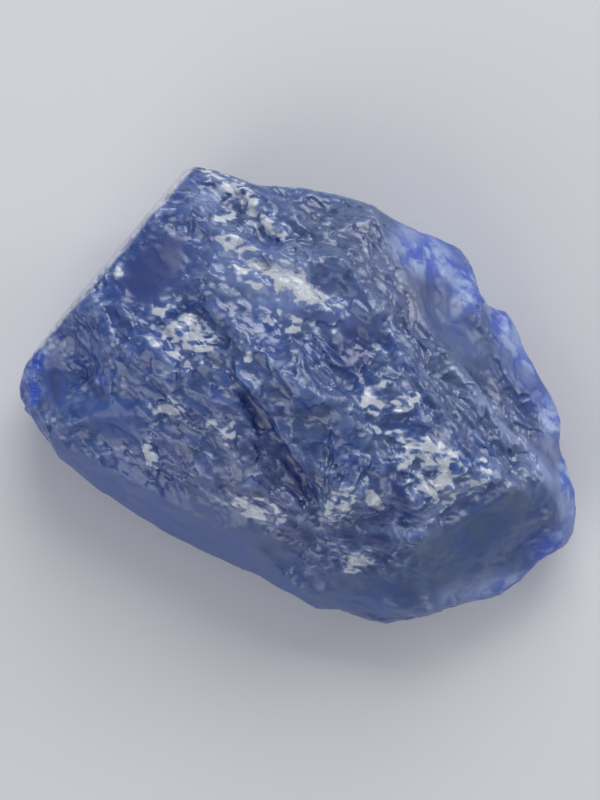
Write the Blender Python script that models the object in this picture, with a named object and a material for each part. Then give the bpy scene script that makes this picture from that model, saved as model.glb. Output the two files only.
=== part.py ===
"""A rough sapphire: one natural broken piece of a blue corundum crystal, lying on a flat parting face.

The block is cut out along its outline, trimmed by its flat and steep faces, scooped by the round scars
that a blow leaves in corundum, and then roughened where it broke and left smooth where the crystal grew or
parted. The base is the parting face, cut last.
Lengths are in millimetres until the mesh is made. +X runs along the stone, +Z up from the face that it
rests on.
"""

import math

import bmesh
import bpy
from mathutils import Matrix, Vector, noise

MM = 0.001

# Driving dimensions: the block's height over the face that it rests on, and what is left under it until
# the last cut
BLOCK_HEIGHT = 12.6
BELOW_BASE = 0.6

# Triangles of the finished solid, the spacing of the points that the surface is worked on, and how near
# two of the block's corners are the same one
TRIANGLES = 9200
WORKING_GRID = 0.26
SAME_PLACE = 0.01

# The stone's outline from above, clockwise from the corner at its upper left
OUTLINE = [
    (-5.3, 11.45), (-4.6, 11.2), (-3.9, 11.15), (-2.9, 10.6), (-1.8, 10.2), (-0.4, 10.3), (1.1, 10.05),
    (2.6, 9.85), (3.6, 9.45), (4.7, 8.75), (5.8, 8.3), (7.4, 7.75), (8.2, 7.35), (8.65, 6.6), (9.0, 5.5),
    (9.25, 4.7), (9.75, 4.35), (10.45, 4.2), (11.1, 3.4), (11.5, 2.2), (12.1, 1.1), (12.7, 0.2), (13.2, -0.4),
    (13.4, -1.2), (13.1, -2.1), (13.1, -2.9), (13.55, -3.7), (13.85, -4.7), (14.0, -5.9), (13.9, -7.0),
    (13.2, -7.7), (12.4, -8.0), (11.9, -8.6), (11.1, -9.4), (10.1, -10.1), (8.6, -10.35), (7.1, -10.7),
    (5.6, -11.2), (4.4, -11.5), (3.4, -11.15), (2.3, -10.75), (1.0, -10.75), (0.1, -10.2), (-1.1, -9.5),
    (-2.4, -8.7), (-4.4, -7.9), (-7.4, -6.5), (-9.1, -5.3), (-11.8, -3.2), (-12.5, -2.0), (-13.1, -1.2),
    (-13.7, -0.4), (-13.9, 0.4), (-13.7, 1.3), (-12.9, 2.3), (-7.3, 9.0),
]

# Faces that the block is trimmed to: a point on the face, the compass direction it looks in (degrees from
# +X) and its tilt (0 looks straight up, 90 is upright, 180 looks down)
PRISM_FACE = ((-9.3, 7.05, 2.0), 139.6, 86.0)
FROSTED_FACE = ((-5.9, -7.15, 2.9), 241.0, 66.0)
BREAKS_ABOVE = [
    ((-8.2, 6.2, 8.4), 142.0, 17.0),
    ((-1.6, 3.3, 12.3), 250.0, 5.0),
    ((-6.6, -3.4, 8.0), 232.0, 24.0),
    ((-5.1, -5.8, 6.4), 237.0, 42.0),
    ((-3.9, 9.9, 9.2), 95.0, 42.0),
    ((0.5, 10.6, 5.2), 82.0, 52.0),
    ((4.4, 4.2, 9.9), 54.0, 27.0),
    ((8.6, 6.9, 3.1), 42.0, 57.0),
    ((11.9, 1.2, 2.8), 28.0, 50.0),
    ((8.0, -3.5, 9.4), 318.0, 13.0),
    ((13.9, -5.9, 3.2), 348.0, 54.0),
    ((10.4, -9.8, 3.0), 303.0, 46.0),
    ((4.4, -11.4, 3.0), 264.0, 48.0),
    ((-13.9, 0.4, 4.0), 186.0, 48.0),
    ((-13.4, 1.9, 5.0), 155.0, 62.0),
]
BREAKS_BELOW = [
    ((-9.3, 7.05, 1.8), 139.6, 108.0),
    ((-6.0, -7.1, 2.3), 243.0, 128.0),
    ((4.4, -11.5, 2.3), 264.0, 134.0),
    ((11.1, -9.4, 2.2), 306.0, 130.0),
    ((14.0, -5.8, 2.6), 352.0, 137.0),
    ((11.8, 1.2, 2.0), 24.0, 143.0),
    ((7.4, 7.8, 2.3), 55.0, 134.0),
    ((0.0, 10.6, 3.4), 88.0, 127.0),
    ((-5.2, 11.4, 3.6), 112.0, 122.0),
    ((-14.0, 0.4, 2.8), 183.0, 131.0),
]

# Round scars of old blows: the lowest point of the scar, the way its hollow faces (compass, tilt), its
# radius
SCARS = [
    ((9.2, -6.6, 6.1), 300.0, 30.0, 7.5),
    ((2.9, 1.6, 9.6), 75.0, 25.0, 4.2),
    ((7.6, 4.6, 4.9), 30.0, 35.0, 3.4),
    ((-11.4, 0.9, 6.1), 165.0, 25.0, 4.5),
    ((-4.3, 6.9, 9.9), 60.0, 20.0, 3.2),
    ((1.4, -8.3, 6.4), 250.0, 44.0, 4.6),
    ((-8.0, 0.6, 9.0), 200.0, 20.0, 5.0),
    ((0.6, -3.0, 10.4), 235.0, 12.0, 6.0),
]

# Ledges on the upper side, where one break stopped against another: the line of the ledge from above, how
# far the stone drops on its right hand side, and how soon the lower side rises again. Then how soon a
# ledge fades at its two ends, the height of the lip on its upper side as a share of the drop, and how
# much narrower the lip is
LEDGES = [
    ([(-4.2, 10.8), (-2.6, 9.9), (-1.6, 8.6), (-0.2, 7.9)], 0.80, 1.6),
    ([(2.4, 3.7), (0.9, 4.9), (-1.0, 5.8), (-3.2, 6.4)], 0.95, 1.7),
    ([(-6.6, 3.6), (-5.2, 4.6), (-3.6, 3.4), (-2.6, 1.6)], 0.75, 1.5),
    ([(-3.8, 2.2), (-1.7, -0.7), (0.1, -3.8), (1.6, -6.4)], 1.05, 1.7),
    ([(1.9, -0.2), (1.6, -3.0), (1.5, -6.2)], 0.60, 1.2),
    ([(13.0, -4.6), (12.0, -3.2), (10.2, -1.2), (8.2, 1.2)], 0.75, 1.8),
    ([(11.4, -2.6), (10.2, -4.3), (7.6, -6.0), (5.0, -6.8), (2.4, -6.4)], 0.50, 2.4),
    ([(-13.2, 2.2), (-11.2, 1.4), (-9.6, 1.9)], 0.50, 1.2),
    ([(-11.9, -1.6), (-9.2, -1.4), (-7.6, -2.6)], 0.45, 1.2),
]
LEDGE_ENDS = 1.2
LIP_SHARE = 0.3
LIP_STEEPNESS = 2.5

# Stretches that broke smooth like glass: the middle from above, the radius and the share of the relief
# that is left
SMOOTH_SPOTS = [
    ((-7.4, 5.8), 2.8, 0.25),
    ((6.2, 5.6), 3.4, 0.45),
    ((8.6, -7.4), 3.6, 0.25),
    ((3.0, -9.2), 2.4, 0.45),
    ((7.2, 6.4), 2.4, 0.30),
    ((10.8, 2.6), 2.4, 0.30),
    ((12.4, -1.8), 1.8, 0.40),
    ((12.8, -6.0), 1.8, 0.40),
    ((-11.8, 0.2), 2.0, 0.45),
]

# The way that the flake scars lie, how many times longer than wide they are, and how fast a scar's own
# direction changes from one to the next, with what keeps the three parts of that direction apart
GRAIN = -42.0
GRAIN_STRETCH = 1.9
DIRECTION_RATE = 7.31
DIRECTION_SHIFTS = (Vector((3.1, 8.7, 5.3)), Vector((41.2, 17.9, 28.6)), Vector((65.4, 93.3, 72.8)))

# Relief of the breaks: the flake scars' widths, slopes, hollowness and seeds, the soft lumps, and the low
# steps that run down one way, with the tread's share of a step and the size and rate of the waves that
# bend their lines
FLAKES = [
    (2.4, 0.30, 0.25, Vector((11.0, 4.0, 7.0))),
    (1.0, 0.42, 0.30, Vector((2.0, 9.0, 1.0))),
]
LUMP_HEIGHT = 0.16
LUMPS_PER_MM = 0.35
STEP_PITCH = 3.4
STEP_HEIGHT = 0.35
STEP_COMPASS = 230.0
STEP_TILT = 78.0
STEP_TREAD = 0.8
STEP_WANDER = ((0.9, 0.22), (0.25, 0.8))

# What is left of the relief on the grown faces, and how alike the normals are where they begin and are
# whole; what is left of it at the rim, where it would blur the outline, and how wide the rim is from
# above
GROWN_SHARE = 0.15
GROWN_LIKENESS = (0.925, 0.985)
RIM_SHARE = 0.25
RIM_WIDTH = 1.4
TOP_NORMAL = 0.2
BASE_NORMAL = -0.9


def facing(compass, tilt):
    """The unit vector that looks in this compass direction at this tilt, both in degrees."""
    around, down = math.radians(compass), math.radians(tilt)
    return Vector((math.sin(down) * math.cos(around), math.sin(down) * math.sin(around), math.cos(down)))


def block():
    """The outline's prism, from a little under the base to the top."""
    mesh = bmesh.new()
    rim = [mesh.verts.new((x, y, -BELOW_BASE)) for x, y in OUTLINE]
    floor = mesh.faces.new(rim)
    grown = bmesh.ops.extrude_face_region(mesh, geom=[floor])["geom"]
    top = [part for part in grown if isinstance(part, bmesh.types.BMVert)]
    bmesh.ops.translate(mesh, verts=top, vec=(0, 0, BLOCK_HEIGHT + BELOW_BASE))
    bmesh.ops.recalc_face_normals(mesh, faces=mesh.faces)
    return mesh


def trim(mesh, point, compass, tilt):
    """Cuts off what lies in front of the face, and closes the cut."""
    cut = bmesh.ops.bisect_plane(
        mesh,
        geom=[*mesh.verts, *mesh.edges, *mesh.faces],
        plane_co=point,
        plane_no=facing(compass, tilt),
        clear_outer=True,
    )["geom_cut"]
    edges = [part for part in cut if isinstance(part, bmesh.types.BMEdge)]
    bmesh.ops.edgenet_fill(mesh, edges=edges)


def stone_of(name, mesh):
    """An object that holds this mesh, with its points and corners in an order that is the same each run."""
    bmesh.ops.remove_doubles(mesh, verts=mesh.verts, dist=SAME_PLACE)
    bmesh.ops.recalc_face_normals(mesh, faces=mesh.faces)
    place = {}
    for point in mesh.verts:
        place[point] = tuple(round(length / SAME_PLACE) * SAME_PLACE for length in point.co)
    points = sorted(place.values())
    rings = []
    for face in mesh.faces:
        ring = [points.index(place[point]) for point in face.verts]
        first = ring.index(min(ring))
        rings.append(ring[first:] + ring[:first])
    mesh.free()
    data = bpy.data.meshes.new(name)
    data.from_pydata(points, [], sorted(rings))
    made = bpy.data.objects.new(name, data)
    bpy.context.scene.collection.objects.link(made)
    return made


def settle(stone):
    """Applies the stone's modifiers."""
    bpy.context.view_layer.update()
    graph = bpy.context.evaluated_depsgraph_get()
    worked = bpy.data.meshes.new_from_object(stone.evaluated_get(graph))
    stone.modifiers.clear()
    stone.data = worked


def scoop(stone, lowest, compass, tilt, radius):
    """Presses a round scar into the stone with a ball that touches the scar's lowest point."""
    centre = Vector(lowest) + facing(compass, tilt) * radius
    for vertex in stone.data.vertices:
        away = vertex.co - centre
        if away.length < radius:
            vertex.co = centre + away.normalized() * radius


def regrid(stone, spacing):
    """Covers the stone with even quads of this size."""
    grid = stone.modifiers.new("Grid", "REMESH")
    grid.mode = "VOXEL"
    grid.voxel_size = spacing
    settle(stone)


def direction_at(place):
    """A direction that depends only on the place, so that it is the same each run."""
    return Vector([noise.noise(place * DIRECTION_RATE + shift) for shift in DIRECTION_SHIFTS]).normalized()


def along_grain(point):
    """The point in a space where the flake scars are as long as they are wide."""
    turned = Matrix.Rotation(math.radians(-GRAIN), 3, "Z") @ point
    return Vector((turned.x / GRAIN_STRETCH, turned.y, turned.z))


def flakes(point, width, slope, hollow, seed):
    """Height of a break made of shallow flake scars of this width, each tilted its own way."""
    place = along_grain(point) / width + seed
    heights = []
    for away, middle in zip(*noise.voronoi(place)):
        heights.append(slope * (place - middle).dot(direction_at(middle)) + hollow * away**2)
    return width * min(heights)


def low_steps(point):
    """Height of the low steps: each tread rises slowly and then drops."""
    along = point.dot(facing(STEP_COMPASS, STEP_TILT)) / STEP_PITCH
    along += sum(size * noise.noise(point * rate) for size, rate in STEP_WANDER)
    rise = along - math.floor(along)
    level = rise / STEP_TREAD if rise < STEP_TREAD else (1 - rise) / (1 - STEP_TREAD)
    return STEP_HEIGHT * (level - 0.5)


def from_outline(point):
    """The distance to the stone's outline, as seen from above."""
    place = point.to_2d()
    nearest = math.inf
    for a, b in zip(OUTLINE, OUTLINE[1:] + OUTLINE[:1]):
        start, run = Vector(a), Vector(b) - Vector(a)
        share = min(1.0, max(0.0, (place - start).dot(run) / run.length_squared))
        nearest = min(nearest, (place - start - run * share).length)
    return nearest


def past_ledge(point, line, drop, fade):
    """How much higher the surface is here because of a ledge: below 0 on the right hand side of its line."""
    place = point.to_2d()
    best, height, walked = None, 0.0, 0.0
    length = sum((Vector(b) - Vector(a)).length for a, b in zip(line, line[1:]))
    for a, b in zip(line, line[1:]):
        start, run = Vector(a), Vector(b) - Vector(a)
        share = min(1.0, max(0.0, (place - start).dot(run) / run.length_squared))
        away = place - (start + run * share)
        if best is None or away.length < best:
            best = away.length
            at = walked + run.length * share
            ends = min(1.0, at / LEDGE_ENDS, (length - at) / LEDGE_ENDS)
            if run.cross(away) < 0:
                height = -drop * math.exp(-best / fade) * ends
            else:
                height = LIP_SHARE * drop * math.exp(-LIP_STEEPNESS * best / fade) * ends
        walked += run.length
    return height


def left_by_smooth_spots(point):
    """The share of the relief that the smooth spots leave here."""
    share = 1.0
    for (x, y), radius, left in SMOOTH_SPOTS:
        away = math.hypot(point.x - x, point.y - y) / radius
        share = min(share, left + (1 - left) * min(1.0, max(0.0, 2 * away - 1)))
    return share


def roughness_at(normal):
    """How broken the surface is: near 0 on the grown faces and the base, 1 on the breaks."""
    rough = 1.0
    begins, whole = GROWN_LIKENESS
    for _, compass, tilt in (PRISM_FACE, FROSTED_FACE):
        alike = normal.dot(facing(compass, tilt))
        rough = min(rough, max(0.0, (whole - alike) / (whole - begins)))
    if normal.z < BASE_NORMAL:
        rough = 0.0
    return rough


def relief(point, normal):
    """How far the surface stands out here, along its normal."""
    rough = roughness_at(normal)
    height = 0.0
    if normal.z > TOP_NORMAL:
        height = rough * sum(past_ledge(point, *ledge) for ledge in LEDGES)
        rough *= left_by_smooth_spots(point)
    lumps = LUMP_HEIGHT * noise.fractal(point * LUMPS_PER_MM, 1.0, 2.0, 3)
    height += lumps * (GROWN_SHARE + (1 - GROWN_SHARE) * rough)
    height += rough * sum(flakes(point, *kind) for kind in FLAKES)
    height += rough * max(0.0, normal.z) * low_steps(point)
    inward = min(1.0, from_outline(point) / RIM_WIDTH)
    return height * (RIM_SHARE + (1 - RIM_SHARE) * inward)


def roughen(stone):
    """Moves the points in and out to give the breaks their lumps, ledges and flake scars."""
    normals = [vertex.normal.copy() for vertex in stone.data.vertices]
    for vertex, normal in zip(stone.data.vertices, normals):
        vertex.co += normal * relief(vertex.co, normal)


def thin_out(stone, triangles):
    """Lowers the number of triangles, keeping most of them where the surface bends."""
    before = sum(len(face.vertices) - 2 for face in stone.data.polygons)
    fewer = stone.modifiers.new("Fewer", "DECIMATE")
    fewer.ratio = triangles / before
    settle(stone)


def part_at_base(stone):
    """Cuts the stone flat at z = 0, where it parted, and closes the cut."""
    mesh = bmesh.new()
    mesh.from_mesh(stone.data)
    trim(mesh, (0, 0, 0), 0.0, 180.0)
    bmesh.ops.triangulate(mesh, faces=mesh.faces)
    bmesh.ops.recalc_face_normals(mesh, faces=mesh.faces)
    mesh.to_mesh(stone.data)
    mesh.free()


def centre(stone):
    """Moves the stone so that the middle of its base's outer box is the origin."""
    places = [vertex.co for vertex in stone.data.vertices]
    low, high = [[pick(place[axis] for place in places) for axis in (0, 1)] for pick in (min, max)]
    stone.data.transform(Matrix.Translation((-(low[0] + high[0]) / 2, -(low[1] + high[1]) / 2, 0)))


def sapphire_blue():
    """The body colour and gloss of the stone."""
    material = bpy.data.materials.new("sapphire_blue")
    material.use_nodes = True
    shader = material.node_tree.nodes["Principled BSDF"]
    shader.inputs["Base Color"].default_value = (0.09, 0.14, 0.33, 1.0)
    shader.inputs["Roughness"].default_value = 0.25
    shader.inputs["Metallic"].default_value = 0.0
    shader.inputs["IOR"].default_value = 1.77
    shader.inputs["Transmission Weight"].default_value = 0.4
    return material


def main():
    for old in list(bpy.data.objects):
        bpy.data.objects.remove(old)
    mesh = block()
    for face in (PRISM_FACE, FROSTED_FACE, *BREAKS_ABOVE, *BREAKS_BELOW):
        trim(mesh, *face)
    stone = stone_of("sapphire", mesh)
    regrid(stone, WORKING_GRID)
    for scar in SCARS:
        scoop(stone, *scar)
    regrid(stone, WORKING_GRID)
    roughen(stone)
    regrid(stone, WORKING_GRID)
    thin_out(stone, TRIANGLES)
    part_at_base(stone)
    centre(stone)
    stone.data.transform(Matrix.Scale(MM, 4))
    stone.data.materials.clear()
    stone.data.materials.append(sapphire_blue())


main()
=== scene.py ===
import math
from itertools import product

import bpy
import numpy as np
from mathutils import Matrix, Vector
from mathutils.bvhtree import BVHTree


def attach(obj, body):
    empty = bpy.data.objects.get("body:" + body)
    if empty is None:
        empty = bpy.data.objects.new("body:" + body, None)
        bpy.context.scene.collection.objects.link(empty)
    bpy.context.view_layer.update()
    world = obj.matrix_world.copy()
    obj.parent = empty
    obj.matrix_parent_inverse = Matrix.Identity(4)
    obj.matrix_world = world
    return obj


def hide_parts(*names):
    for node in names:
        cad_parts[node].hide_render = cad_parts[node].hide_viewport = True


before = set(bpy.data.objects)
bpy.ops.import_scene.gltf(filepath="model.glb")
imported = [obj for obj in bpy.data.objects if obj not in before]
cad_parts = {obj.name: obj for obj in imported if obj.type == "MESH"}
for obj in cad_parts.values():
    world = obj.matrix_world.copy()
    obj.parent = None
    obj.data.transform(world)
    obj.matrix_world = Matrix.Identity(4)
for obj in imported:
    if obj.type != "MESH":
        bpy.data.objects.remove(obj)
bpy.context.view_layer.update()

# The stone's shape: one broken piece of a blue sapphire crystal. It is a copy of the solid, closed and
# covered with an even fine grid, on which the broken faces get the flake scars, flutes and low steps that
# the solid is too coarse for. The grown faces get only faint growth lines, and the parting face under the
# stone stays flat. Lengths here are in millimetres.
MM = 0.001
MERGE_WITHIN = 0.001
GRID = 0.095
BLUR = 0.5
FACET_BLUR = 5
CRACK_BLUR = 2
TRIANGLES = 196000
SHARP_ANGLE = 35.0

# Faces that the crystal grew along: a point on each, the compass direction that it looks in, and its tilt
# from straight up. A point belongs to one where it looks the same way and lies near its plane, and each
# of those shares rises over the second number. The face that it parted along looks down, and nothing is
# worked near it.
PRISM_FACE = ((-9.3, 7.1, 2.0), 139.6, 86.0)
FROSTED_FACE = ((-5.9, -7.1, 2.9), 241.0, 66.0)
SAME_WAY = (0.90, 0.06)
NEAR_PLANE = (0.7, 0.3)
EDGE_BAND = (0.30, 0.1)
BAND_WAY = 0.2
PARTED_NORMAL = -0.9
LEFT_AT_BASE = 0.6
UPPER_NORMAL = 0.3

# Shallow flake scars of the hackly breaks, of three sizes: width, slope, hollowness and seed, and how
# they are stretched along the grain. The finest ones are strongest where the stone is bruised.
WIDE_FLAKES = (1.40, 0.10, 0.10, 11)
SMALL_FLAKES = (0.68, 0.27, 0.20, 23)
FINE_FLAKES = (0.36, 0.22, 0.16, 37)
GRAIN = -50.0
GRAIN_STRETCH = 1.8

# How the relief varies: the width and seed of its waves, the least share of it on steep sides, how much
# of it the smooth and the clear patches lose, and the least and the wave's share of the small and fine
# scars. Each point's tint is shared between its small scar and its fine one.
HACKLY_WAVES = (2.2, 91)
SIDE_RELIEF = 0.4
SMOOTH_LOSS = 0.7
CLEAR_LOSS = 0.4
SMALL_SHARE = (0.5, 0.5)
FINE_SHARE = (0.3, 0.5)
TINT_SHARES = (0.4, 0.6)
WORKED_FROM = 0.01

# Low steps where the crystal parted layer by layer, and growth lines on its grown faces: the way that
# each kind runs down, its pitch and height, and the width, size and seed of the waves in its lines. The
# tread and the riser are these shares of a step.
PARTED_STEPS = ((232.0, 60.0), 1.9, 0.10, 2.6, 0.55, 51)
GROWTH_LINES = ((0.0, 0.0), 0.55, 0.035, 3.5, 0.45, 57)
TREAD = 0.85
RISER = 0.15

# Flutes that run together at one point, as a fan: where, how far out, the turn of each in radians, how
# fast they change outward and down, their height and their seed
FAN_FOCUS = (1.4, -6.4)
FAN_REACH = 8.0
FLUTE_TURN = 0.12
FLUTE_LENGTHS = (0.35, 0.2)
FLUTE_HEIGHT = 0.11
FLUTE_SEED = 71

# How deep light reaches from a thin rim, how far to the side it is looked for, and how far under the
# surface the look starts. The slanted direction is one that no face of the stone has.
GLOW_DEPTH = 1.6
GLOW_SPREAD = 0.7
GLOW_START = 0.05
SLANTED = (0.36, 0.48, 0.8)

# Round or long patches on the upper side: the middle, the half length and half width, and the way that
# they lie. Bruised ones are flecked with white, crushed ones are all white, both partly crushed stone and
# partly painted glints, clear ones look down into the stone, smooth ones broke like glass, grey, mauve and
# hazy ones are veiled by silk, and glowing ones are the thin rims, painted bright as if light came through.
BRUISED = [
    ((-0.8, 5.6), (2.7, 0.75), -27.0), ((-1.5, 8.3), (0.9, 0.6), -35.0), ((-5.5, 3.1), (1.5, 1.1), -25.0),
    ((-6.3, -0.6), (0.7, 0.5), -15.0), ((-7.1, -2.7), (0.7, 0.22), -75.0), ((-2.3, 1.9), (0.3, 0.2), 80.0),
    ((2.9, -8.1), (0.8, 0.5), 20.0), ((2.1, -5.2), (0.9, 0.7), 60.0), ((6.7, -3.8), (1.7, 1.3), -40.0),
    ((5.7, -2.3), (1.7, 0.45), -25.0), ((3.7, -0.1), (0.8, 0.45), 70.0), ((5.2, -0.3), (0.8, 0.35), 25.0),
    ((-3.6, 8.8), (0.6, 0.3), 0.0), ((-3.2, 7.4), (0.7, 0.3), -10.0), ((-0.6, 3.5), (1.3, 0.45), -25.0),
    ((1.2, 3.3), (0.7, 0.3), 0.0), ((-1.9, -5.5), (1.1, 0.5), -20.0), ((-3.6, -1.6), (0.8, 0.5), -40.0),
    ((8.9, -3.6), (0.8, 0.4), -60.0), ((-8.8, 5.9), (0.5, 0.35), 60.0), ((-5.6, 8.0), (0.35, 0.2), 0.0),
    ((-3.2, 10.2), (1.6, 0.45), -38.0), ((-1.9, 9.0), (0.6, 0.3), -30.0),
]
CRUSHED_AND_GLINTING = [
    ((-0.4, 5.6), (2.1, 0.42), -27.0), ((0.5, 5.0), (1.2, 0.35), -38.0), ((-3.2, 10.1), (1.1, 0.22), -40.0),
    ((-2.2, 9.0), (0.45, 0.25), -20.0), ((-1.2, 8.1), (0.6, 0.3), -30.0), ((-6.3, -0.6), (0.5, 0.3), -15.0),
    ((2.9, -8.0), (0.55, 0.4), 20.0), ((-7.3, -3.0), (0.6, 0.16), -72.0), ((-2.25, 1.9), (0.25, 0.17), 80.0),
    ((-5.0, 3.3), (0.6, 0.2), -50.0), ((-6.3, 3.1), (0.5, 0.16), 60.0), ((5.9, -2.4), (0.9, 0.2), -15.0),
    ((7.1, -3.5), (0.9, 0.24), -60.0), ((6.3, -4.4), (0.8, 0.2), -50.0), ((3.6, -4.9), (0.7, 0.28), -50.0),
    ((5.5, -0.3), (0.5, 0.14), 45.0), ((3.8, -1.6), (0.3, 0.16), -50.0), ((3.3, -0.3), (0.4, 0.16), 60.0),
    ((-3.5, 8.7), (0.4, 0.22), 0.0), ((-2.9, 7.5), (0.4, 0.2), -10.0), ((-2.6, -5.2), (0.5, 0.2), -30.0),
]
CLEAR = [
    ((-6.9, 6.2), (2.0, 1.2), 50.0), ((1.0, 4.0), (1.3, 0.42), -5.0), ((2.6, 2.2), (1.9, 1.0), 80.0),
    ((-11.9, 0.7), (0.8, 0.3), 100.0), ((-9.8, 0.7), (0.7, 0.5), -50.0), ((-1.6, -1.1), (1.6, 0.35), -60.0),
    ((-0.2, -3.2), (1.7, 0.35), -58.0), ((4.9, -4.6), (1.6, 0.3), -70.0), ((3.4, -6.9), (1.4, 0.25), -5.0),
]
SMOOTH = [
    ((-6.9, 6.2), (1.9, 1.2), 50.0), ((6.6, 6.4), (2.4, 1.6), -40.0), ((8.6, -7.2), (4.4, 1.7), 35.0),
    ((3.0, -9.8), (3.4, 1.2), -5.0), ((11.4, 1.6), (3.0, 1.1), -55.0), ((-11.9, 0.6), (1.4, 0.6), 100.0),
    ((-9.0, -1.2), (1.6, 1.0), -30.0), ((-3.0, -6.6), (4.0, 0.7), -28.0), ((13.0, -4.5), (3.2, 1.0), -80.0),
    ((11.0, -8.8), (3.4, 1.0), 38.0), ((7.0, 8.0), (3.6, 0.9), -28.0), ((7.8, 3.2), (3.0, 1.0), -52.0),
]
GREY = [
    ((2.5, 7.8), (3.4, 2.0), -25.0), ((7.6, 0.6), (2.8, 1.6), -55.0), ((7.4, -7.2), (4.2, 1.5), 33.0),
    ((-2.6, 9.2), (1.6, 0.8), -40.0),
]
MAUVE = [
    ((-1.8, -4.8), (4.2, 2.0), -40.0), ((0.6, -6.0), (2.4, 1.2), -45.0), ((10.6, -1.6), (3.0, 0.9), -52.0),
    ((4.8, 5.4), (2.2, 1.3), -50.0),
]
GLOWING = [
    ((6.4, 7.0), (2.3, 1.3), -28.0), ((8.6, 5.4), (1.5, 1.0), -50.0), ((11.0, 3.0), (2.4, 1.0), -52.0),
    ((12.8, -0.9), (1.3, 0.8), -70.0), ((13.6, -5.0), (2.6, 0.7), -85.0), ((12.8, -7.4), (1.4, 0.8), 40.0),
    ((10.4, -9.4), (2.6, 0.5), 15.0), ((5.4, -6.7), (0.5, 0.16), 0.0), ((-12.9, 1.6), (1.3, 0.4), 60.0),
    ((-13.0, 0.2), (0.8, 0.5), 80.0), ((-9.6, 0.8), (0.4, 0.25), -30.0),
]
HAZY = [
    ((9.6, -0.9), (1.9, 0.35), -45.0), ((12.1, -3.6), (1.8, 0.35), -50.0), ((13.3, -5.4), (1.0, 0.3), -75.0),
    ((5.0, -6.4), (1.3, 0.25), -5.0), ((7.6, -4.9), (2.4, 0.4), 35.0), ((-4.4, 9.6), (0.7, 0.4), -40.0),
    ((-0.9, 5.5), (3.4, 1.2), -27.0), ((5.5, 8.0), (0.6, 0.45), -30.0), ((7.1, 7.5), (1.0, 0.2), -42.0),
    ((12.9, -0.6), (0.7, 0.3), -70.0), ((11.0, 2.9), (0.9, 0.28), -62.0), ((8.6, -9.6), (2.2, 0.5), 20.0),
    ((7.6, 6.0), (0.6, 0.2), -60.0), ((13.6, -6.6), (0.9, 0.35), 80.0),
]

# How soft the patches' edges are, as a share of their size: plainly for the relief, and for each mask
# that the finish reads. The glowing patches are painted light, strongest where the stone is thin, and a
# thin rim gets a little painted glow by itself. Crests and hollows are measured against what is this
# many grid steps around.
PATCH_EDGE = 0.5
PATCH_EDGES = {
    "bruised": (BRUISED, 1.1), "crushed": (CRUSHED_AND_GLINTING, 1.2), "clear": (CLEAR, 0.8), "smooth": (SMOOTH, 0.6),
    "grey": (GREY, 1.2), "mauve": (MAUVE, 1.2), "hazy": (HAZY, 1.3),
}
GLOW_EDGE = 1.0
GLOW_SHARE = 0.6
EDGE_GLOW = 0.5
CREST_ROUNDS = 14
CREST_HEIGHT = 0.20


def facing(compass, tilt):
    """The unit vector that looks in this compass direction at this tilt, both in degrees."""
    around, down = math.radians(compass), math.radians(tilt)
    return np.array([math.sin(down) * math.cos(around), math.sin(down) * math.sin(around), math.cos(down)])


def applied(piece, kind, **settings):
    """Adds a modifier with these settings to the piece and applies it."""
    bpy.context.view_layer.objects.active = piece
    bpy.ops.object.modifier_add(type=kind)
    modifier = piece.modifiers[-1]
    for name, value in settings.items():
        setattr(modifier, name, value)
    bpy.ops.object.modifier_apply(modifier=modifier.name)


def read(mesh, name):
    """The places or the normals of the mesh's points."""
    values = np.empty(len(mesh.vertices) * 3, dtype=np.float32)
    mesh.vertices.foreach_get(name, values)
    return values.reshape(-1, 3).astype(float)


def in_patches(places, patches, edge=PATCH_EDGE):
    """1 in the middle of the patches and 0 past them, with an edge that is this share of their size."""
    most = np.zeros(len(places))
    for (x, y), (length, width), turn in patches:
        along = np.array([math.cos(math.radians(turn)), math.sin(math.radians(turn))])
        away = places[:, :2] - (x, y)
        far = np.hypot(away @ along / length, (away[:, 1] * along[0] - away[:, 0] * along[1]) / width)
        most = np.maximum(most, np.clip((1 - far) / edge + 0.5, 0, 1))
    return most


def scattered(cells, seed):
    """A number from 0 to 1 for each whole-number cell, with no order in them but the same each run."""
    key = cells.astype(np.int64) @ np.array([73856093, 19349663, 83492791]) + seed * 2654435761
    key = (key & 0xFFFFFFFF).astype(np.uint64)
    for shift, factor in ((15, 2246822519), (13, 3266489917)):
        key = ((key ^ (key >> np.uint64(shift))) * np.uint64(factor)) & np.uint64(0xFFFFFFFF)
    return (key ^ (key >> np.uint64(16))) / 2.0**32


def waves(places, width, seed):
    """Soft waves from -1 to 1 of this width."""
    low = np.floor(places / width)
    share = places / width - low
    share = share * share * (3 - 2 * share)
    total = np.zeros(len(places))
    for corner in product((0, 1), repeat=3):
        total += np.prod(np.where(corner, share, 1 - share), axis=1) * scattered(low + corner, seed)
    return 2 * total - 1


def grained(places):
    """The places turned and squeezed so that what is round here is long along the grain on the stone."""
    turn = math.radians(GRAIN)
    along = places[:, 0] * math.cos(turn) + places[:, 1] * math.sin(turn)
    across = places[:, 1] * math.cos(turn) - places[:, 0] * math.sin(turn)
    return np.stack([along / GRAIN_STRETCH, across, places[:, 2]], axis=1)


def flakes(places, width, slope, hollow, seed):
    """Height of a break made of flake scars of this width, each tilted its own way, and their tints."""
    at = grained(places) / width
    low = np.floor(at)
    nearest = np.full(len(at), np.inf)
    height = np.zeros(len(at))
    tint = np.zeros(len(at))
    for corner in product((-1, 0, 1), repeat=3):
        cell = low + corner
        away = at - cell - np.stack([scattered(cell, seed + axis) for axis in range(3)], axis=1)
        distance = (away * away).sum(axis=1)
        closer = distance < nearest
        cell, away = cell[closer], away[closer]
        tilt = np.stack([scattered(cell, seed + axis) for axis in range(3, 6)], axis=1) - 0.5
        tilt /= np.linalg.norm(tilt, axis=1)[:, None]
        nearest[closer] = distance[closer]
        height[closer] = slope * (away * tilt).sum(axis=1) + hollow * distance[closer]
        tint[closer] = scattered(cell, seed + 6)
    return width * (height - height.mean()), tint


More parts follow.
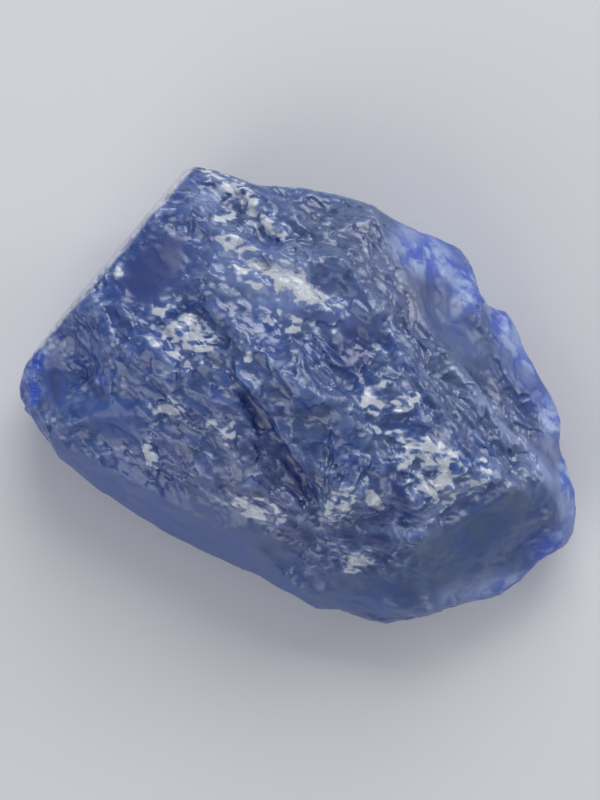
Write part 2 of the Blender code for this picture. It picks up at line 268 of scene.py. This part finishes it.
def steps(places, way, pitch, height, width, size, seed):
    """Height of low steps: each tread rises slowly and then drops."""
    level = places @ facing(*way) / pitch + size * waves(places, width, seed)
    rise = level - np.floor(level)
    return height * (np.minimum(rise / TREAD, (1 - rise) / RISER) - 0.5)


def flutes(places):
    """Height of the ridges that run together at the fan's focus."""
    away = places[:, :2] - FAN_FOCUS
    far = np.hypot(away[:, 0], away[:, 1])
    turn = np.arctan2(away[:, 1], away[:, 0])
    outward, down = FLUTE_LENGTHS
    ridge = waves(np.stack([turn / FLUTE_TURN, far * outward, places[:, 2] * down], axis=1), 1.0, FLUTE_SEED)
    shape = np.clip(2 - 2 * far / FAN_REACH, 0, 1) * np.clip(far / 2, 0, 1)
    return FLUTE_HEIGHT * shape * (1 - 2 * np.abs(ridge))


def thinness(mesh, places, normals):
    """Near 1 where the stone is thin behind the surface, 0 where it is thick."""
    tree = BVHTree.FromPolygons(
        [Vector(place) for place in places],
        [tuple(face.vertices) for face in mesh.polygons],
    )
    across = np.cross(normals, SLANTED)
    across *= GLOW_SPREAD / np.linalg.norm(across, axis=1)[:, None]
    beside = np.cross(normals, across)
    light = np.zeros(len(places))
    for side in (across, -across, beside, -beside):
        ways = side - normals
        ways /= np.linalg.norm(ways, axis=1)[:, None]
        starts = places + ways * GLOW_START
        depths = [tree.ray_cast(Vector(start), Vector(way))[3] or 0.0 for start, way in zip(starts, ways)]
        light += np.exp(-np.array(depths) / GLOW_DEPTH) / 4
    return light


def standing_out(mesh, places, normals, rounds):
    """How far each point stands out from the mean of what is around it, further around with more rounds."""
    ends = np.empty(len(mesh.edges) * 2, dtype=np.int32)
    mesh.edges.foreach_get("vertices", ends)
    first, second = ends.reshape(-1, 2).T
    size = len(places)
    count = np.bincount(first, minlength=size) + np.bincount(second, minlength=size)
    mean = places
    for _ in range(rounds):
        sums = [
            np.bincount(first, mean[second, axis], size) + np.bincount(second, mean[first, axis], size)
            for axis in range(3)
        ]
        mean = np.stack(sums, axis=1) / count[:, None]
    return ((places - mean) * normals).sum(axis=1)


bpy.ops.object.select_all(action="DESELECT")
cad_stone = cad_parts["sapphire"]
stone = bpy.data.objects.new("rough_sapphire", cad_stone.data.copy())
bpy.context.scene.collection.objects.link(stone)
stone.select_set(True)
bpy.context.view_layer.objects.active = stone
bpy.ops.object.mode_set(mode="EDIT")
bpy.ops.mesh.select_all(action="SELECT")
bpy.ops.mesh.remove_doubles(threshold=MERGE_WITHIN * MM)
bpy.ops.object.mode_set(mode="OBJECT")
applied(stone, "REMESH", mode="VOXEL", voxel_size=GRID * MM)
applied(stone, "SMOOTH", factor=BLUR, iterations=FACET_BLUR)

# The relief is least on the grown faces, on steep sides, near the base and where the stone broke like
# glass
places = read(stone.data, "co") / MM
normals = read(stone.data, "normal")
upper = np.clip(normals[:, 2] / UPPER_NORMAL, 0, 1)
grown, bands = [], []
for on_face, compass, tilt in (PRISM_FACE, FROSTED_FACE):
    alike = normals @ facing(compass, tilt)
    away = np.abs((places - on_face) @ facing(compass, tilt))
    near = np.clip((NEAR_PLANE[0] - away) / NEAR_PLANE[1], 0, 1)
    grown.append(np.clip((alike - SAME_WAY[0]) / SAME_WAY[1], 0, 1) * near)
    bands.append(np.clip((EDGE_BAND[0] - away) / EDGE_BAND[1], 0, 1) * np.clip(alike / BAND_WAY, 0, 1))
prism, frosted = grown
broken = (1 - prism) * (1 - frosted) * np.clip(places[:, 2] / LEFT_AT_BASE, 0, 1)
broken[normals[:, 2] < PARTED_NORMAL] = 0
broken *= np.clip(SIDE_RELIEF + normals[:, 2], SIDE_RELIEF, 1)
broken *= 1 - SMOOTH_LOSS * upper * in_patches(places, SMOOTH)
broken *= 1 - CLEAR_LOSS * upper * in_patches(places, CLEAR)
bruised = upper * in_patches(places, BRUISED)
hackly = 0.5 + 0.5 * waves(places, *HACKLY_WAVES)
worked = broken > WORKED_FROM
at = places[worked]
wide, _ = flakes(at, *WIDE_FLAKES)
small, small_tint = flakes(at, *SMALL_FLAKES)
fine, fine_tint = flakes(at, *FINE_FLAKES)
small_share = SMALL_SHARE[0] + SMALL_SHARE[1] * hackly[worked]
fine_share = np.maximum(FINE_SHARE[0] + FINE_SHARE[1] * hackly, bruised)[worked]
heights = wide + small * small_share + fine * fine_share
heights += upper[worked] * broken[worked] * (steps(at, *PARTED_STEPS) + flutes(at))
places[worked] += normals[worked] * (heights * broken[worked])[:, None]
lined = (prism + frosted) * np.clip(places[:, 2] / LEFT_AT_BASE, 0, 1)
places += normals * (lined * steps(places, *GROWTH_LINES))[:, None]
tint = np.full(len(places), 0.5)
tint[worked] = TINT_SHARES[0] * small_tint + TINT_SHARES[1] * fine_tint
places[:, 2] = np.maximum(places[:, 2], 0)
stone.data.vertices.foreach_set("co", (places * MM).astype(np.float32).ravel())
applied(stone, "SMOOTH", factor=BLUR, iterations=CRACK_BLUR)
masks = {"pale": bands[0], "prism": prism, "frosted": frosted, "upper": upper, "tint": tint}
for name, mask in masks.items():
    stone.data.attributes.new(name, "FLOAT", "POINT").data.foreach_set("value", mask.astype(np.float32))
stone.data.update()
before = sum(len(face.vertices) - 2 for face in stone.data.polygons)
applied(stone, "DECIMATE", ratio=min(1.0, TRIANGLES / before))

# What the finish reads from the mesh: the patches, the thin rims, and the crests and hollows
places = read(stone.data, "co") / MM
normals = read(stone.data, "normal")
thin = thinness(stone.data, places, normals)
upper = np.empty(len(places), dtype=np.float32)
stone.data.attributes["upper"].data.foreach_get("value", upper)
masks = {name: in_patches(places, *patches) * upper for name, patches in PATCH_EDGES.items()}
# The painted glow of the rims: painted patches, brighter where the stone is thin, and a little on every thin
# rim
bright = in_patches(places, GLOWING, GLOW_EDGE) * (GLOW_SHARE + (1 - GLOW_SHARE) * thin)
masks["glowing"] = np.maximum(EDGE_GLOW * thin, bright)
masks["crest"] = 0.5 + standing_out(stone.data, places, normals, CREST_ROUNDS) / CREST_HEIGHT
for name, mask in masks.items():
    stone.data.attributes.new(name, "FLOAT", "POINT").data.foreach_set("value", mask.astype(np.float32))
bpy.ops.object.shade_smooth_by_angle(angle=math.radians(SHARP_ANGLE))

# The stone's finish: clear blue corundum, clouded by silk and cracks, so it is partly see-through. Fresh
# breaks are satin or glassy and made of many small flat crumbs, crushed places are white, partly as
# painted glints, and grown faces are frosted.
WINDOW_BLUE = (0.010, 0.046, 0.260)
DEEP_BLUE = (0.032, 0.112, 0.460)
SLATE_BLUE = (0.088, 0.152, 0.370)
GREY_GREEN = (0.088, 0.155, 0.265)
MAUVE_GREY = (0.155, 0.185, 0.345)
HOLLOW_SHADE_BLUE = (0.022, 0.048, 0.200)
CREST_HIGHLIGHT_BLUE = (0.240, 0.360, 0.720)
DARK_CHIP = (0.018, 0.052, 0.225)
PALE_CHIP = (0.185, 0.285, 0.580)
HAZE = (0.350, 0.470, 0.850)
LAVENDER = (0.088, 0.152, 0.440)
ROYAL_BLUE = (0.045, 0.130, 0.740)
PERIWINKLE = (0.460, 0.620, 1.000)
PALE_EDGE = (0.860, 0.890, 0.980)
PRISM_FROST = (0.270, 0.350, 0.640)
CRUSHED_WHITE_AND_GLINT = (0.90, 0.95, 1.00)
SPECK_GLINT_BLUE = (0.540, 0.650, 0.860)
SEE_THROUGH = 0.36
INDEX = 1.77
BODY_COLOUR = (0.22, 0.46, 0.96, 1.0)
BODY_DENSITY = 230.0

# The noises behind the pattern, each with its waves in a millimetre, its detail and its roughness. Crumbs
# are the smallest flat faces, and specks are single pale ones, painted glints as well as pale crumbs, of
# two widths: how rare each is, and how strong.
CLOUDS = (0.40, 5.0, 0.65)
VEILS = (0.8, 4.0, 0.6)
MOTTLES = (1.1, 4.0, 0.65)
STREAKS = (1.2, 3.0, 0.6)
LAYERS = (1.0, 3.0, 0.6)
LAYER_SCALE = (0.35, 0.35, 3.2)
RAGGED_EDGES = (1.0, 2.0, 0.5)
BROKEN_EDGES = (2.2, 2.0, 0.6)
FLECKS = (2.6, 1.5, 0.5)
CRUMB_WIDTH = 0.19
CRUMBS = (0.5 / CRUMB_WIDTH, 1.0, 0.5)
SPECK_SHARE = (0.6, 2.0, 0.5)
DULL_PATCHES = (1.2, 3.0, 0.6)
SKIN = (4.0, 2.0, 0.6)
SPECK_WIDTH = 0.28
SPECKS = ((SPECK_WIDTH, 0.60, 1.0), (0.50, 0.72, 0.8))

# How much of each colour is laid on: least and more of it where one follows a cloud
END_DEPTH = 0.9
VEIL_SHARE = (0.25, 0.6)
HAZE_SHARE = (0.4, 0.5)
FROST_SHARE = (0.25, 0.65)
MOTTLE_DARK, MOTTLE_PALE = 0.7, 0.5
CRUMB_DARK, CRUMB_PALE = 0.45, 0.28
CHIP_SHARE = 0.25
CREST_SHARE = 0.5
HOLLOW_SHADE_SHARE = 0.3
WINDOW_SHARE = 0.95
SILK_SHARE = 0.25
EDGE_SHARE = (0.45, 0.55)
PALE_BAND_SHARE = 0.95

# Gloss and the relief too fine for the mesh: the least roughness, what each finish adds, and the heights,
# in millimetres, of the crumbs and of the grain
LEAST_ROUGHNESS = 0.22
FROSTED_DULL = 0.25
CLOUD_DULL = 0.10
WINDOW_DULL = 0.05
CRUMB_RELIEF = 0.06
SKIN_RELIEF = 0.008

finish = bpy.data.materials.new("sapphire_blue")
finish.use_nodes = True
tree = finish.node_tree
shader = tree.nodes["Principled BSDF"]
output = tree.nodes["Material Output"]


def node(kind, inputs=(), **settings):
    """A shader node with these settings. Inputs are values, or sockets that feed them, by number or name."""
    made = tree.nodes.new(kind)
    for name, value in settings.items():
        setattr(made, name, value)
    for socket, value in dict(inputs).items():
        if isinstance(value, bpy.types.NodeSocket):
            tree.links.new(value, made.inputs[socket])
        else:
            made.inputs[socket].default_value = value
    return made


def maths(operation, *values, clamp=False):
    """The result of a Math node on these values."""
    return node("ShaderNodeMath", enumerate(values), operation=operation, use_clamp=clamp).outputs[0]


def times(*values):
    """The product of these values."""
    product_so_far = values[0]
    for value in values[1:]:
        product_so_far = maths("MULTIPLY", product_so_far, value)
    return product_so_far


def mixed(share, first, second):
    """The two colours mixed by this share of the second."""
    first, second = [(*value, 1.0) if isinstance(value, tuple) else value for value in (first, second)]
    return node("ShaderNodeMix", {0: share, 6: first, 7: second}, data_type="RGBA").outputs[2]


def painted(name):
    """The mask of this name that is kept in the mesh."""
    return node("ShaderNodeAttribute", attribute_name=name).outputs["Fac"]


def stepped(value, low, high):
    """0 at low and 1 at high, and level past them, with a smooth rise between them."""
    ends = {3: 1.0, 4: 0.0} if low > high else {}
    inputs = {0: value, 1: min(low, high), 2: max(low, high), **ends}
    return node("ShaderNodeMapRange", inputs, interpolation_type="SMOOTHSTEP").outputs[0]


def cloudy(scale, detail, roughness, where=None):
    """Noise with this many waves in a millimetre, this detail and this roughness."""
    inputs = {"Vector": where or in_mm, "Scale": scale, "Detail": detail, "Roughness": roughness}
    return node("ShaderNodeTexNoise", inputs).outputs["Fac"]


def follows(share, cloud):
    """The first number of this share, and as much more as the second where the cloud is full."""
    return maths("ADD", share[0], times(cloud, share[1]))


def centred(noise, strength):
    """The noise made to vary by this much around nothing."""
    return times(maths("SUBTRACT", noise, 0.5), strength)


place = node("ShaderNodeTexCoord").outputs["Object"]
in_mm = node("ShaderNodeMapping", {"Vector": place, "Scale": (1 / MM, 1 / MM, 1 / MM)}).outputs[0]
along_grain = node(
    "ShaderNodeMapping",
    {"Vector": in_mm, "Rotation": (0, 0, math.radians(-GRAIN)), "Scale": (1 / GRAIN_STRETCH, 1, 1)},
    vector_type="POINT",
).outputs[0]
bruise, window, gloss, glow = painted("bruised"), painted("clear"), painted("smooth"), painted("glowing")
frost, prism, crest = painted("frosted"), painted("prism"), painted("crest")
# The prism face is painted pale, near white on its crests along the upper edge
pale_band = times(painted("pale"), follows(EDGE_SHARE, stepped(crest, 0.45, 0.65)))
grown = maths("MAXIMUM", maths("MAXIMUM", frost, prism), pale_band)
plain = maths("MAXIMUM", grown, maths("MAXIMUM", gloss, window))
worked = maths("SUBTRACT", 1.0, plain, clamp=True)

# Colour: clouds of slate and deep blue, veiled grey or mauve in places, painted shade in the hollows and
# paler on the crests, partly crushed edges and partly painted highlight, deeper in the windows, lavender
# where frosted, and a painted glow on the rims where light comes through them
in_from_end = stepped(node("ShaderNodeSeparateXYZ", {0: in_mm}).outputs[0], -3.0, -8.0)
tone = maths("MAXIMUM", stepped(cloudy(*CLOUDS), 0.40, 0.62), times(in_from_end, END_DEPTH))
colour = mixed(tone, SLATE_BLUE, DEEP_BLUE)
veil = stepped(cloudy(*VEILS), 0.35, 0.65)
colour = mixed(times(painted("grey"), follows(VEIL_SHARE, veil)), colour, GREY_GREEN)
colour = mixed(times(painted("mauve"), follows(VEIL_SHARE, veil)), colour, MAUVE_GREY)
mottle = cloudy(*MOTTLES, along_grain)
colour = mixed(times(stepped(mottle, 0.50, 0.34), worked, MOTTLE_DARK), colour, DARK_CHIP)
colour = mixed(times(stepped(mottle, 0.54, 0.72), worked, MOTTLE_PALE), colour, PALE_CHIP)
crumb = stepped(cloudy(*CRUMBS, along_grain), 0.26, 0.74)
colour = mixed(times(stepped(crumb, 0.45, 0.15), worked, CRUMB_DARK), colour, DARK_CHIP)
colour = mixed(times(stepped(crumb, 0.55, 0.90), worked, CRUMB_PALE), colour, PALE_CHIP)
chip = painted("tint")
colour = mixed(times(stepped(chip, 0.35, 0.05), worked, CHIP_SHARE), colour, DARK_CHIP)
colour = mixed(times(stepped(chip, 0.62, 0.95), worked, CHIP_SHARE), colour, PALE_CHIP)
# Paler on the crests: partly crushed edges and partly a painted highlight where the ridges catch the light
colour = mixed(times(stepped(crest, 0.55, 1.1), CREST_SHARE, worked), colour, CREST_HIGHLIGHT_BLUE)
# Painted shade: the hollows are darkened to navy, partly the deeper blue seen into the pits and partly shade
# that falls in them, less in the bruised patches
hollow = times(stepped(crest, 0.38, 0.0), maths("SUBTRACT", HOLLOW_SHADE_SHARE, bruise, clamp=True))
colour = mixed(hollow, colour, HOLLOW_SHADE_BLUE)
colour = mixed(times(window, WINDOW_SHARE), colour, WINDOW_BLUE)
streak = stepped(cloudy(*STREAKS, along_grain), 0.44, 0.64)
# Painted glow: the rims are painted royal blue and periwinkle as if light came through them, over the real
# see-through share
colour = mixed(stepped(glow, 0.10, 0.70), colour, mixed(streak, ROYAL_BLUE, PERIWINKLE))
level = node("ShaderNodeMapping", {"Vector": in_mm, "Scale": LAYER_SCALE}).outputs[0]
layers = stepped(maths("ADD", times(cloudy(*LAYERS, level), 0.6), times(veil, 0.3)), 0.34, 0.66)
silky = mixed(times(layers, SILK_SHARE), LAVENDER, PRISM_FROST)
colour = mixed(times(frost, follows(FROST_SHARE, in_from_end)), colour, silky)
colour = mixed(prism, colour, mixed(layers, LAVENDER, PRISM_FROST))
colour = mixed(times(painted("hazy"), follows(HAZE_SHARE, veil)), colour, HAZE)

# Crushed white and painted glints: flecks that fill the bruised and crushed patches, most on their crests,
# and single pale specks over the broken faces, each partly crushed stone and partly painted glint
ragged = maths("ADD", bruise, centred(cloudy(*RAGGED_EDGES, along_grain), 1.6))
fleck_and_glint = maths("ADD", cloudy(*FLECKS, along_grain), centred(crest, 0.20))
fleck_and_glint = maths("ADD", fleck_and_glint, times(maths("SUBTRACT", ragged, 0.6), 0.16))
fleck_and_glint = times(stepped(fleck_and_glint, 0.36, 0.80), stepped(bruise, 0.0, 0.45), maths("SUBTRACT", 1.0, window))
crush_and_glint = painted("crushed")
broken_edge = maths("ADD", crush_and_glint, centred(cloudy(*BROKEN_EDGES, along_grain), 1.5))
fleck_and_glint = maths("MAXIMUM", fleck_and_glint, times(stepped(broken_edge, 0.25, 0.85), stepped(crush_and_glint, 0.0, 0.3)))
often = stepped(cloudy(*SPECK_SHARE), 0.43, 0.62)
speck_glint = 0.0
for width, rare, strength in SPECKS:
    speck = node("ShaderNodeTexVoronoi", {"Vector": along_grain, "Scale": 1.0 / width, "Randomness": 1.0})
    chosen = node("ShaderNodeSeparateColor", {0: speck.outputs["Color"]}).outputs[0]
    dot = times(stepped(speck.outputs["Distance"], 0.70, 0.05), stepped(chosen, rare, rare + 0.25), strength)
    speck_glint = maths("MAXIMUM", speck_glint, times(dot, worked, often))
colour = mixed(speck_glint, colour, SPECK_GLINT_BLUE)
# A paler blue ring is painted around the flecks, as light spreading from the painted glints
glint_halo = times(stepped(fleck_and_glint, 0.0, 0.45), maths("ADD", 0.3, times(crumb, 0.9), clamp=True))
colour = mixed(glint_halo, colour, CREST_HIGHLIGHT_BLUE)
fleck_and_glint = maths("ADD", fleck_and_glint, times(maths("SUBTRACT", crumb, 0.50), stepped(fleck_and_glint, 0.05, 0.45)))
colour = mixed(stepped(fleck_and_glint, 0.25, 0.95), colour, CRUSHED_WHITE_AND_GLINT)
colour = mixed(times(pale_band, PALE_BAND_SHARE), colour, PALE_EDGE)
tree.links.new(colour, shader.inputs["Base Color"])

# Gloss: satin on the breaks, in soft uneven patches, and duller on the frosted and the smooth faces
dull = maths("ADD", LEAST_ROUGHNESS, times(maths("MAXIMUM", grown, times(gloss, 0.5)), FROSTED_DULL))
dull = maths("ADD", dull, times(cloudy(*DULL_PATCHES), CLOUD_DULL))
dull = maths("ADD", dull, times(window, WINDOW_DULL))
tree.links.new(dull, shader.inputs["Roughness"])

# Relief too fine for the mesh: small flat faces and a grain on all of them
cell = node("ShaderNodeTexVoronoi", {"Vector": along_grain, "Scale": 1.0 / SPECK_WIDTH})
flat_parts = []
for value, middle in ((along_grain, cell.outputs["Position"]), (cell.outputs["Color"], (0.5, 0.5, 0.5))):
    part = node("ShaderNodeVectorMath", {0: value, 1: middle}, operation="SUBTRACT")
    flat_parts.append(part.outputs[0])
flat = node("ShaderNodeVectorMath", enumerate(flat_parts), operation="DOT_PRODUCT").outputs["Value"]
fine = maths("ADD", times(flat, worked, CRUMB_RELIEF), times(cloudy(*SKIN), SKIN_RELIEF))
bump = node("ShaderNodeBump", {"Strength": 1.0, "Distance": MM, "Height": fine})
tree.links.new(bump.outputs[0], shader.inputs["Normal"])

shader.inputs["IOR"].default_value = INDEX
shader.inputs["Transmission Weight"].default_value = SEE_THROUGH
body = node("ShaderNodeVolumeAbsorption", {"Color": BODY_COLOUR, "Density": BODY_DENSITY})
tree.links.new(body.outputs[0], output.inputs["Volume"])
stone.data.materials.clear()
stone.data.materials.append(finish)

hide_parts("sapphire")
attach(stone, "root")

# The studio: a plain pale floor, a large soft light from behind the stone, a low one from its right, a
# weak one from the front left, and an even sky. The camera looks straight down, as the photograph's does.
FLOOR_GREY = (0.75, 0.75, 0.76, 1.0)
FLOOR_ROUGHNESS = 0.9
FLOOR_SIZE = 1.2
FLOOR_DROP = 0.00002
SKY_COLOUR = (0.85, 0.9, 1.0, 1.0)
SKY_STRENGTH = 0.335

# Each light's name, compass direction and tilt in degrees, size in metres and power in watts
LIGHT_DISTANCE = 0.30
LIGHTS = [
    ("main_light", 80.0, 50.0, 0.20, 0.50),
    ("low_light", 25.0, 72.0, 0.12, 0.17),
    ("weak_light", 225.0, 55.0, 0.25, 0.28),
]

bpy.ops.object.select_all(action="DESELECT")
bpy.ops.mesh.primitive_plane_add(size=FLOOR_SIZE, location=(0, 0, -FLOOR_DROP))
floor = bpy.context.object
floor.name = "floor"
paper = bpy.data.materials.new("floor_paper")
paper.use_nodes = True
paper.node_tree.nodes["Principled BSDF"].inputs["Base Color"].default_value = FLOOR_GREY
paper.node_tree.nodes["Principled BSDF"].inputs["Roughness"].default_value = FLOOR_ROUGHNESS
floor.data.materials.append(paper)


def soft_light(name, compass, tilt, size, power):
    """A square soft light in this direction from the stone, turned to it."""
    lamp = bpy.data.lights.new(name, "AREA")
    lamp.size = size
    lamp.energy = power
    holder = bpy.data.objects.new(name, lamp)
    holder.location = facing(compass, tilt) * LIGHT_DISTANCE
    holder.rotation_euler = (-holder.location).to_track_quat("-Z", "Y").to_euler()
    bpy.context.scene.collection.objects.link(holder)


for light in LIGHTS:
    soft_light(*light)

world = bpy.data.worlds.new("even_sky")
world.use_nodes = True
world.node_tree.nodes["Background"].inputs["Color"].default_value = SKY_COLOUR
world.node_tree.nodes["Background"].inputs["Strength"].default_value = SKY_STRENGTH
bpy.context.scene.world = world

# The photograph's frame is 600 by 800, and 0.05 mm of the stone is one pixel at the height of its middle
LENS = 150.0
SENSOR = 36.0
FRAME_HEIGHT = 40.0 * MM
MIDDLE_HEIGHT = 3.0 * MM
AIM = (0.125 * MM, -0.175 * MM)
NEAREST_SEEN = 0.01
lens = bpy.data.cameras.new("camera")
lens.lens = LENS
lens.sensor_width = SENSOR
lens.clip_start = NEAREST_SEEN
camera = bpy.data.objects.new("camera", lens)
camera.location = (*AIM, MIDDLE_HEIGHT + FRAME_HEIGHT * LENS / SENSOR)
bpy.context.scene.collection.objects.link(camera)
bpy.context.scene.camera = camera
bpy.context.scene.view_settings.view_transform = "Standard"
